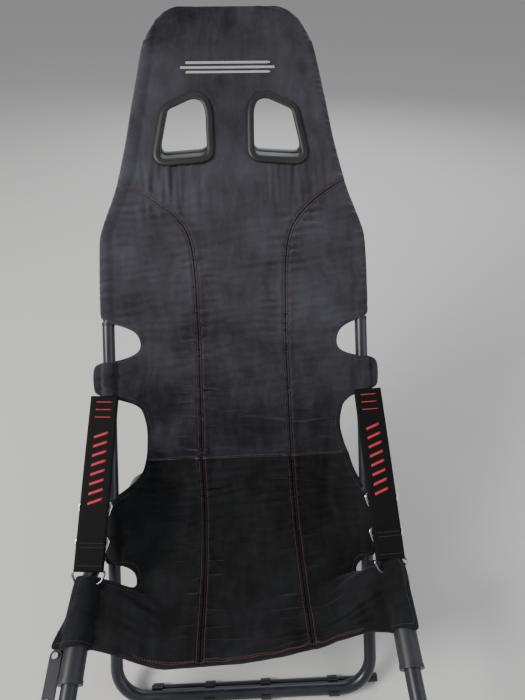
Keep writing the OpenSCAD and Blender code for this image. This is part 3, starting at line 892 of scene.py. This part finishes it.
@dataclass(frozen=True)
class BeltHole:
    """Opening for a shoulder belt and the plastic frame round it, in the back frame's plane."""

    x: float = 87.0
    up: float = 1050.0
    radius: float = 9.0
    corners: tuple[Point2, ...] = (
        (-26, 23), (20, 44), (36, 40), (43, 22), (44, -54), (36, -60), (-36, -65), (-42, -56))

    def outline(self, side: int, grow: float, count: int = 96) -> np.ndarray:
        """Rounded outline of the opening, grown outwards by a distance.

        Args:
            side: -1 for the left, 1 for the right.
            grow: distance outwards.
            count: number of points.

        Returns:
            Rows of x and up.
        """
        points = [(-side * p[0], p[1]) for p in self.corners]
        centre = np.mean(points, axis=0)
        fine: list[np.ndarray] = []
        for i, corner in enumerate(points):
            before, after = points[i - 1], points[(i + 1) % len(points)]
            c = np.array(corner, float)
            to_a, to_b = np.array(before) - c, np.array(after) - c
            a = c + to_a * min(0.45, self.radius / np.linalg.norm(to_a))
            b = c + to_b * min(0.45, self.radius / np.linalg.norm(to_b))
            for t in np.linspace(0, 1, count // len(points)):
                fine.append((1 - t) ** 2 * a + 2 * t * (1 - t) * c + t**2 * b)
        line = np.array(fine)
        run = unit(np.roll(line, -1, axis=0) - np.roll(line, 1, axis=0))
        out = np.stack([run[:, 1], -run[:, 0]], 1)
        if ((line - centre) * out).sum() < 0:
            out = -out
        line = line + out * grow
        return line + np.array([side * self.x, self.up])

    def ring(self, side: int, grow: float, off: float) -> np.ndarray:
        """Outline as points of the model, off to the front; the hole runs level through the back."""
        drop = off * math.tan(SIDE.lean)
        return np.array([SIDE.place(x, *SIDE.back(up - drop, off)) for x, up in self.outline(side, grow)])


@dataclass
class Bezels:
    """The four plastic frames of the belt holes."""

    hole: BeltHole = field(default_factory=BeltHole)
    section: tuple[Point2, ...] = (
        (0.0, 1.0), (0.0, 14.0), (0.6, 16.2), (2.4, 17.6), (6.0, 18.2), (10.5, 17.4), (13.0, 15.0),
        (13.4, 12.6), (12.0, 11.6), (6.5, 11.8), (3.0, 11.0), (2.6, 1.0))

    def build(self, side: int, face: int, material: bpy.types.Material) -> bpy.types.Object:
        """Makes one frame as its section swept round the hole.

        Args:
            side: -1 for the left, 1 for the right.
            face: 1 for the driver's side, -1 for the rear.
            material: its finish.

        Returns:
            The new piece.
        """
        word = f"{'front' if face > 0 else 'rear'}_{'left' if side < 0 else 'right'}"
        rings = np.array([self.hole.ring(side, grow, face * off) for grow, off in self.section])
        rings = np.concatenate([rings, rings[:1]])
        piece = mesh_piece(f"belt_bezel_{word}", rings.reshape(-1, 3), loft(*rings.shape[:2]), material)
        tidy_shell(piece, 1e-6)
        piece.data.shade_smooth()
        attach(piece, "back_frame")
        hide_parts(f"bezel_{word}")
        log.info("bezel %s", word)
        return piece


@dataclass
class Stitch:
    """Rows of thread, each stitch a short bead that lies on the cloth."""

    length: float = 3.4
    pitch: float = 4.4
    thick: float = 0.55

    def bead(self, a: np.ndarray, b: np.ndarray) -> tuple[np.ndarray, Faces]:
        """Six-sided bead from a to b, in metres, with its faces."""
        length = np.linalg.norm(b - a)
        v = (b - a) / (length + TINY)
        side = unit(np.cross(v, PAST_CLOTH))
        up = np.cross(side, v)
        rings = []
        for share, size in ((0.0, 0.35), (0.2, 1.0), (0.8, 1.0), (1.0, 0.35)):
            centre = a + v * length * share
            for angle in np.arange(6) * math.pi / 3:
                out = side * math.cos(angle) + up * math.sin(angle)
                rings.append(centre + out * self.thick * MM * size)
        return np.array(rings), loft(4, 6) + [tuple(range(5, -1, -1)), tuple(range(18, 24))]

    def along(self, lines: Sequence[np.ndarray]) -> tuple[np.ndarray, Faces]:
        """Stitches along lines given as dense rows of metres."""
        beads = []
        for line in lines:
            run = run_length(line)
            for start in np.arange(0, run[-1] - self.pitch * MM, self.pitch * MM):
                ends = [np.array([np.interp(start + d, run, line[:, i]) for i in range(3)])
                        for d in (0, self.length * MM)]
                beads.append(self.bead(*ends))
        return joined(beads)


@dataclass
class Cover:
    """The whole sewn cover: the back part, the seat part, their stitching and the head band."""

    stitch: Stitch = field(default_factory=Stitch)
    seam_pair: float = 5.8
    cord_pair: float = 2.7
    cord: float = 2.1
    blend_from: float = 178.0
    blend_to: float = 92.0
    blend_up: float = 215.0
    band_u: float = 1131.0

    def build(self, palette: Palette) -> None:
        """Makes both parts and what is sewn on them."""
        self.build_back(palette)
        self.build_seat(palette)
        self.build_stitching(palette)
        self.build_head_band(palette)

    def build_back(self, palette: Palette) -> None:
        """Back part, from the head to the hip seam, with the belt holes cut through."""
        piece = CoverPart("cover_back", BACK_OUTLINE).build(palette.suede)
        for side in (-1, 1):
            self.cut_hole(piece, side)
        piece.data.shade_smooth()
        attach(piece, "back_frame")
        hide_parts("back_cover", "lumbar_panel", "side_tab_left", "side_tab_right")
        log.info("cover back: %d faces", len(piece.data.polygons))

    def cut_hole(self, piece: bpy.types.Object, side: int) -> None:
        """Cuts one belt hole through a piece."""
        hole = BeltHole()
        rings = np.array([hole.ring(side, 4.0, off) for off in (-40.0, 40.0)])
        count = rings.shape[1]
        faces = loft(2, count) + [tuple(range(count)), tuple(range(2 * count - 1, count - 1, -1))]
        cutter = mesh_piece("hole_cutter", rings.reshape(-1, 3), faces, piece.data.materials[0])
        tidy_shell(cutter)
        cut = piece.modifiers.new("hole", "BOOLEAN")
        cut.operation = "DIFFERENCE"
        cut.solver = "FAST"
        cut.object = cutter
        bpy.ops.object.select_all(action="DESELECT")
        bpy.context.view_layer.objects.active = piece
        piece.select_set(True)
        bpy.ops.object.modifier_apply(modifier=cut.name)
        piece.select_set(False)
        bpy.data.objects.remove(cutter)

    def build_seat(self, palette: Palette) -> None:
        """Seat part, from the hip seam to the hem, which bends where the frame folds."""
        # The seat part takes the darker copy of the suede, which is painted shade.
        piece = CoverPart("cover_seat", SEAT_OUTLINE, 200).build(palette.suede_shaded)
        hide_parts("seat_panel", "front_hem", "mid_flap_left", "mid_flap_right",
                    "corner_flap_left", "corner_flap_right")
        self.blend(piece)
        log.info("cover seat: %d faces", len(piece.data.polygons))

    def blend(self, piece: bpy.types.Object) -> None:
        """Bakes a piece of the seat part's placement into its mesh."""
        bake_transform(piece)

    def settle(self, piece: bpy.types.Object, seat: bool) -> None:
        """Parents a piece of the back part to the back frame's empty, and bakes a piece of the seat part
        in place.
        """
        if seat:
            self.blend(piece)
        else:
            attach(piece, "back_frame")

    def cord_mesh(self, row: np.ndarray) -> tuple[np.ndarray, Faces]:
        """Round cord along a row of metres, drawn in at both ends."""
        turn = np.linspace(0, 2 * math.pi, 9)[:-1]
        run = unit(np.gradient(row, axis=0))
        side = unit(np.cross(run, PAST_CLOTH))
        up = np.cross(side, run)
        count = np.arange(len(row)) + 0.2
        reach = self.cord * MM * np.sqrt(np.minimum(1.0, np.minimum(count, count[::-1]) / 3.0))
        rings = row[:, None] + reach[:, None, None] * (
            side[:, None] * np.cos(turn)[None, :, None] + up[:, None] * np.sin(turn)[None, :, None])
        last = (len(row) - 1) * 8
        faces = loft(len(row), 8) + [tuple(range(8)), tuple(range(last, last + 8))]
        return rings.reshape(-1, 3), faces

    def cords(self, name: str, rows: list[np.ndarray], material: bpy.types.Material,
              seat: bool) -> None:
        """Piping along rows: a round cord of suede under each."""
        piece = mesh_piece(name, *joined(self.cord_mesh(row) for row in rows), material)
        tidy_shell(piece)
        self.settle(piece, seat)

    def on_part(self, table: np.ndarray, at: np.ndarray, limits: Point2, inset: float,
                lift: float) -> list[np.ndarray]:
        """The stretch of a flat row that lies on a part, as a list of one row or none.

        Args:
            table: sampled outline of the part.
            at: rows of u and x.
            limits: highest and lowest u that are kept.
            inset: least distance from the part's sides.
            lift: distance to stand off the cloth.

        Returns:
            Rows of metres, with nothing where too little is left.
        """
        keep = (at[:, 0] < limits[0]) & (at[:, 0] > limits[1])
        keep &= half_width(table, at[:, 0], at[:, 1]) > np.abs(at[:, 1]) + inset
        at = at[keep]
        return [on_cover(table, at[:, 0], at[:, 1], lift=lift)] if len(at) > 4 else []

    def seam_rows(self, table: np.ndarray, pair: float, lift: float) -> list[np.ndarray]:
        """Two rows beside each long seam, at a distance from it, where it lies inside the part."""
        limits = (table[0, 0] - 5, table[-1, 0] + 5)
        return [row for line in CLOTH.long_seams for shift in (-pair, pair)
                for row in self.on_part(table, line + aside(line) * shift, limits, 5, lift)]

    def edge_rows(self, table: np.ndarray, inset: float, limits: Point2) -> list[np.ndarray]:
        """Rows of thread that follow both cut edges at a distance inside them."""
        rows = []
        for side in (-1, 1):
            width = table[:, 1] if side < 0 else table[:, 2]
            line = np.stack([table[:, 0], side * width], 1)
            rows += self.on_part(table, line - aside(line) * side * inset, limits, 3, 0.2)
        return rows

    def sewn(self, name: str, rows: list[np.ndarray], material: bpy.types.Material,
             seat: bool) -> None:
        """Turns rows into one piece of stitching, parented to the back frame on the back part and baked in
        place on the seat part.
        """
        points, faces = self.stitch.along(rows)
        self.settle(mesh_piece(name, points, faces, material), seat)
        log.info("%s: %d faces", name, len(faces))

    def build_stitching(self, palette: Palette) -> None:
        """Thread along the long seams, the hip seam, the hem and the notches."""
        back, seat = BACK_OUTLINE.sampled(), SEAT_OUTLINE.sampled()
        # The seat's piping takes the darker copy of the suede too, which is painted shade.
        for name, table, suede, is_seat in (("back", back, palette.suede, False),
                                            ("seat", seat, palette.suede_shaded, True)):
            thread = self.seam_rows(table, self.seam_pair, 0.3)
            self.sewn(f"seam_thread_{name}", thread, palette.thread_wine, is_seat)
            self.cords(f"seam_piping_{name}", self.seam_rows(table, self.cord_pair, 0.7), suede, is_seat)
        x = np.arange(-168, 196, 2.0)
        hip_back = [on_cover(back, np.full(len(x), SLING.hip_u + 5.0), x, lift=0.2)]
        self.sewn("hip_thread_back", hip_back, palette.thread_wine, False)
        hem = [on_cover(seat, np.full(len(x), SLING.hem_u + d), x, lift=0.6) for d in (7.0, 11.0)]
        self.sewn("hem_thread_seat", hem, palette.thread_wine, True)
        self.sewn("edge_thread_back", self.edge_rows(back, 9.0, (690, 440)), palette.thread_black, False)
        self.sewn("edge_thread_seat", self.edge_rows(seat, 9.0, (425, 100)), palette.thread_black, True)

    def build_head_band(self, palette: Palette) -> None:
        """Plain embroidered band on the head: three level bars of silver thread."""
        table = BACK_OUTLINE.sampled()
        rows = []
        for low, reach in ((0.0, 78.0), (8.0, 88.0), (16.0, 78.0)):
            for fill in np.arange(-1.6, 1.7, 0.8):
                x = np.arange(-reach + abs(fill), reach - abs(fill), 2.0)
                rows.append(on_cover(table, np.full(len(x), self.band_u + low + fill), x, lift=0.35))
        self.sewn("head_band", rows, palette.thread_silver, False)


# ---------------------------------------------------------------- straps and loops


@dataclass(frozen=True)
class StrapFrame:
    """A strap's own axes: x across, y from its rear end to its front loop, z up off its face."""

    side: int
    top: tuple[float, float, float] = (236.0, 352.0, 452.0)
    end: tuple[float, float, float] = (250.0, 105.0, 279.0)

    def matrix(self) -> Matrix:
        """Matrix from strap metres to the model's metres."""
        top, end = (SIDE.place(self.side * x, y, z) for x, y, z in (self.top, self.end))
        along = (end - top).normalized()
        across = Vector((0, 0, 1)).cross(along).normalized()
        up = across.cross(along).normalized()
        if up.z < 0:
            up, across = -up, -across
        out = Matrix((across, along, up)).transposed().to_4x4()
        out.translation = top
        return out

    def length(self) -> float:
        """Length of the strap in millimetres."""
        return (Vector(self.end) - Vector(self.top)).length


@dataclass
class Strap:
    """One side strap with its folded front end, its stitching, its marks and its wire loops."""

    side: int
    width: float = 50.0
    thick: float = 2.4
    start: float = 13.0
    fold: float = 46.0
    keep: float = 0.74

    def __post_init__(self) -> None:
        """Works out the strap's place once."""
        self.word = "left" if self.side < 0 else "right"
        self.body = "strap_l" if self.side < 0 else "strap_r"
        self.at = StrapFrame(self.side)
        self.turn = self.at.matrix()

    def point(self, x: float, y: float, z: float) -> Vector:
        """A point of the strap's own millimetres, in the model."""
        return self.turn @ (Vector((x, y, z)) * MM)

    def lift(self, x: float, y: float) -> float:
        """Gentle bow and twist of the taut webbing."""
        along = y / self.at.length()
        return 1.6 * math.sin(math.pi * along) * (1 - (x / self.width) ** 2) - 0.5 * math.cos(3 * along)

    def band(self, name: str, material: bpy.types.Material, x: Point2, y: Point2, z: Point2,
             grid: tuple[int, int] = (16, 90), slant: float = 0.0) -> bpy.types.Object:
        """Webbing between two distances along the strap, rounded at its selvedges.

        Args:
            name: name of the piece.
            material: its finish.
            x: limits across.
            y: limits along.
            z: lower and upper face.
            grid: cells across and along.
            slant: share of the distance across by which each row leans along the strap.

        Returns:
            The new piece with its UV map in metres.
        """
        bpy.ops.object.select_all(action="DESELECT")
        columns, rows = grid
        points, places = [], []
        half = (z[1] - z[0]) / 2
        for r in range(rows + 1):
            along = y[0] + (y[1] - y[0]) * r / rows
            ring = []
            for c in range(columns + 1):
                across = x[0] + (x[1] - x[0]) * c / columns
                edge = min(across - x[0], x[1] - across)
                size = math.sqrt(max(0.05, 1 - max(0.0, 1 - edge / half) ** 2))
                ring.append((across, along, size))
            for face in (1, -1):
                for across, along, size in (ring if face > 0 else ring[::-1]):
                    middle = (z[0] + z[1]) / 2 + self.lift(across, along)
                    points.append(self.point(across, along + slant * across, middle + face * half * size))
                    places.append((across * MM + face, along * MM))
        piece = mesh_piece(name, np.array(points), closed_loft(rows + 1, 2 * (columns + 1)), material)
        uv = piece.data.uv_layers.new(name="weave")
        for loop in piece.data.loops:
            uv.data[loop.index].uv = places[loop.vertex_index]
        tidy_shell(piece, 0.0)
        return piece

    def soft(self, piece: bpy.types.Object) -> None:
        """Parents a piece of the strap to the strap's empty and gives it its own mesh data."""
        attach(piece, self.body)
        anchor = self.point(0, self.at.length(), 0)
        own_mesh(piece)

    def build(self, palette: Palette) -> None:
        """Makes the strap and everything on it."""
        long = self.at.length()
        half = self.width / 2
        main = self.band(f"strap_webbing_{self.word}", palette.webbing, (-half, half),
                         (self.start, long + 1), (-self.thick / 2, self.thick / 2))
        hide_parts(f"strap_{self.word}")
        self.soft(main)
        turned = self.band(f"strap_fold_{self.word}", palette.webbing, (-half + 0.6, half - 0.6),
                           (long - self.fold, long + 3.2), (self.thick / 2 + 0.05, self.thick * 1.4),
                           (16, 24))
        self.soft(turned)
        self.build_marks(palette)
        self.build_thread(palette, long)
        self.build_loops(palette, long)
        log.info("strap %s", self.word)

    def build_marks(self, palette: Palette) -> None:
        """Plain woven marks: three cross dashes near the rear end and a run of bars below them."""
        top = self.thick / 2
        marks = (("dash", 3, 23.0, 13.5, 1.6, 14, 0.35, (8, 2), 0.0),
                 ("bar", 8, 80.0, 16.0, 4.5, 12, 0.3, (6, 3), 0.35))
        for kind, count, first, pitch, tall, half, proud, grid, slant in marks:
            for i in range(count):
                y = first + i * pitch
                name = f"strap_{kind}_{self.word}_{i + 1}"
                self.soft(self.band(name, palette.print_red, (-half, half), (y, y + tall),
                                    (top - 0.3, top + proud), grid, slant))

    def build_thread(self, palette: Palette, long: float) -> None:
        """Three rows of thread across the folded end."""
        stitch = Stitch(length=2.6, pitch=3.4, thick=0.4)
        rows = [np.array([self.point(x, y, 3.5 + self.lift(x, y)) for x in np.arange(-22, 22, 1.0)])
                for y in (long - self.fold + 5, long - self.fold + 12, long - 6)]
        self.soft(mesh_piece(f"strap_thread_{self.word}", *stitch.along(rows), palette.thread_black))

    def build_loops(self, palette: Palette, long: float) -> None:
        """The front loop in its hook and the two spare loops under the webbing."""
        short = self.word[0]
        down = -1.5 - 2.0 - 0.4
        loops = (("front", "seat_frame", long + 2.4, 0.0, 40.0, 20.0),
                 ("middle", f"loop_middle_{short}", long - 48, down, 46.0, 24.0),
                 ("rear", f"loop_rear_{short}", long - 105, down, 46.0, 24.0))
        for word, body, y, z, narrow, reach in loops:
            wire = palette.dark_chrome if word == "front" else palette.chrome
            piece = WireLoop(f"wire_loop_{word}_{self.word}", 58.0, narrow, reach).build(wire)
            piece.data.transform(self.turn @ Matrix.Translation(Vector((0, y, z)) * MM))
            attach(piece, body)
            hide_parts(f"strap_loop_{word}_{self.word}")


@dataclass
class WireLoop:
    """Trapezoid of round wire with bent corners, flat on XY with its wide bar on the X axis."""

    name: str
    wide: float
    narrow: float
    reach: float
    wire: float = 4.0
    bend: float = 7.0

    def build(self, material: bpy.types.Material) -> bpy.types.Object:
        """Models the loop from a plane's edges, rounded at the corners and thickened to wire."""
        bpy.ops.object.select_all(action="DESELECT")
        bpy.ops.mesh.primitive_plane_add(size=1, location=(0, self.reach * MM / 2, 0))
        plane = bpy.context.object
        plane.scale = (self.wide * MM, self.reach * MM, 1)
        bpy.ops.object.transform_apply(location=True, rotation=True, scale=True)
        bpy.ops.object.mode_set(mode="EDIT")
        bpy.ops.mesh.select_mode(type="VERT")
        bpy.ops.mesh.select_all(action="DESELECT")
        shell = bmesh.from_edit_mesh(plane.data)
        for vertex in shell.verts:
            vertex.select_set(vertex.co.y > self.reach * MM / 2)
        bmesh.update_edit_mesh(plane.data)
        bpy.ops.transform.resize(value=(self.narrow / self.wide, 1, 1),
                                 center_override=(0, self.reach * MM, 0))
        bpy.ops.mesh.select_all(action="SELECT")
        bpy.ops.mesh.delete(type="ONLY_FACE")
        bpy.ops.mesh.select_all(action="SELECT")
        bpy.ops.mesh.bevel(offset=self.bend * MM, segments=6, affect="VERTICES")
        bpy.ops.object.mode_set(mode="OBJECT")
        bpy.ops.object.convert(target="CURVE")
        bpy.context.object.data.bevel_depth = self.wire * MM / 2
        bpy.context.object.data.bevel_resolution = 4
        bpy.ops.object.convert(target="MESH")
        loop = bpy.context.object
        loop.name = loop.data.name = self.name
        tidy_shell(loop)
        bpy.ops.object.shade_smooth_by_angle(angle=math.radians(60.0))
        loop.data.materials.clear()
        loop.data.materials.append(material)
        loop.select_set(False)
        return loop


# ---------------------------------------------------------------- carried-over nodes


class Dress(Enum):
    """Which finish each carried-over node takes."""

    TUBE = ("seat_frame_tube", "back_frame_lower_tube", "back_frame_upper_tube", "floor_rod",
            "arm_left", "arm_right", "corner_hook_left", "corner_hook_right")
    SLEEVE = ("arm_sleeves", "link_lug", "link_bar")
    PLASTIC = ("rear_floor_clips", "front_floor_clips", "sleeve_collars", "step_bushings",
               "floor_rod_cap")
    ZINC = ("pivot_bolts", "pivot_washers", "pivot_nuts", "sleeve_bolts", "link_pin", "link_bolt")


class FrameDress:
    """Finishes on the tubes, sleeves, clips and bolts that come from the frame."""

    def build(self, palette: Palette) -> None:
        """Gives every carried-over node its material."""
        finish = {Dress.TUBE: palette.tube, Dress.SLEEVE: palette.sleeve,
                  Dress.PLASTIC: palette.plastic, Dress.ZINC: palette.zinc}
        for group, material in finish.items():
            for node in group.value:
                mesh = bpy.data.objects[node].data
                mesh.materials.clear()
                mesh.materials.append(material)
            log.info("%s: %d nodes", group.name.lower(), len(group.value))


# ---------------------------------------------------------------- camera, light and floor


@dataclass(frozen=True)
class Studio:
    """Pale floor, soft light and the camera."""

    eye: tuple[float, float, float] = (16.9, -344.0, 1108.2)
    pitch: float = math.radians(39.54)
    yaw: float = math.radians(2.42)
    lens: float = 27.05

    def build(self, palette: Palette) -> None:
        """Makes the camera, the lights and the floor."""
        self.build_camera()
        self.build_light()
        self.build_floor(palette)

    def build_camera(self) -> None:
        """Camera above the front of the seat, looking down and back."""
        data = bpy.data.cameras.new("camera")
        data.sensor_width = 36.0
        data.lens = self.lens
        data.clip_start = 0.01
        camera = bpy.data.objects.new("camera", data)
        camera.location = SIDE.place(*self.eye)
        camera.rotation_euler = (math.pi / 2 - self.pitch, 0.0, -self.yaw)
        bpy.context.scene.collection.objects.link(camera)
        bpy.context.scene.camera = camera

    def area(self, name: str, place: Sequence[float], aim: Sequence[float], size: float,
             power: float, tint: Sequence[float]) -> None:
        """Adds a square soft light that points at a place."""
        data = bpy.data.lights.new(name, "AREA")
        data.size = size
        data.energy = power
        data.color = tint
        light = bpy.data.objects.new(name, data)
        light.location = place
        light.rotation_euler = (Vector(aim) - Vector(place)).to_track_quat("-Z", "Y").to_euler()
        bpy.context.scene.collection.objects.link(light)

    def build_light(self) -> None:
        """A key from the front left, a broad cool fill from the front right and a rim from behind."""
        self.area("key", (-2.2, -1.0, 2.3), (0, 0.2, 0.6), 1.0, 95.0, (1.0, 0.99, 0.97))
        self.area("fill", (2.4, -1.2, 1.6), (0, 0.1, 0.5), 2.4, 26.0, (0.93, 0.95, 1.0))
        self.area("rim", (0.5, 2.6, 2.2), (0, 0.1, 0.6), 2.2, 42.0, (0.95, 0.97, 1.0))
        world = bpy.data.worlds.new("studio")
        world.use_nodes = True
        sky = world.node_tree.nodes["Background"]
        sky.inputs["Color"].default_value = (0.92, 0.94, 0.97, 1)
        sky.inputs["Strength"].default_value = 0.42
        bpy.context.scene.world = world

    def build_floor(self, palette: Palette) -> None:
        """Wide plain floor under the seat."""
        bpy.ops.object.select_all(action="DESELECT")
        bpy.ops.mesh.primitive_plane_add(size=90.0, location=(0, 0, -0.0005))
        floor = bpy.context.object
        floor.name = "floor"
        bpy.ops.object.transform_apply(location=True, rotation=True, scale=True)
        floor.data.materials.append(palette.floor)
        floor.select_set(False)


def write_sizes() -> None:
    """Updates the view layer."""
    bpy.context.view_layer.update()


def main() -> None:
    """Builds the seat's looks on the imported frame."""
    logging.basicConfig(level=logging.INFO, format="%(name)s: %(message)s")
    palette = Palette()
    Studio().build(palette)
    FrameDress().build(palette)
    Cover().build(palette)
    bezels = Bezels()
    for side in (-1, 1):
        for face in (1, -1):
            bezels.build(side, face, palette.plastic)
        Strap(side).build(palette)
    write_sizes()


if __name__ == "__main__":
    main()
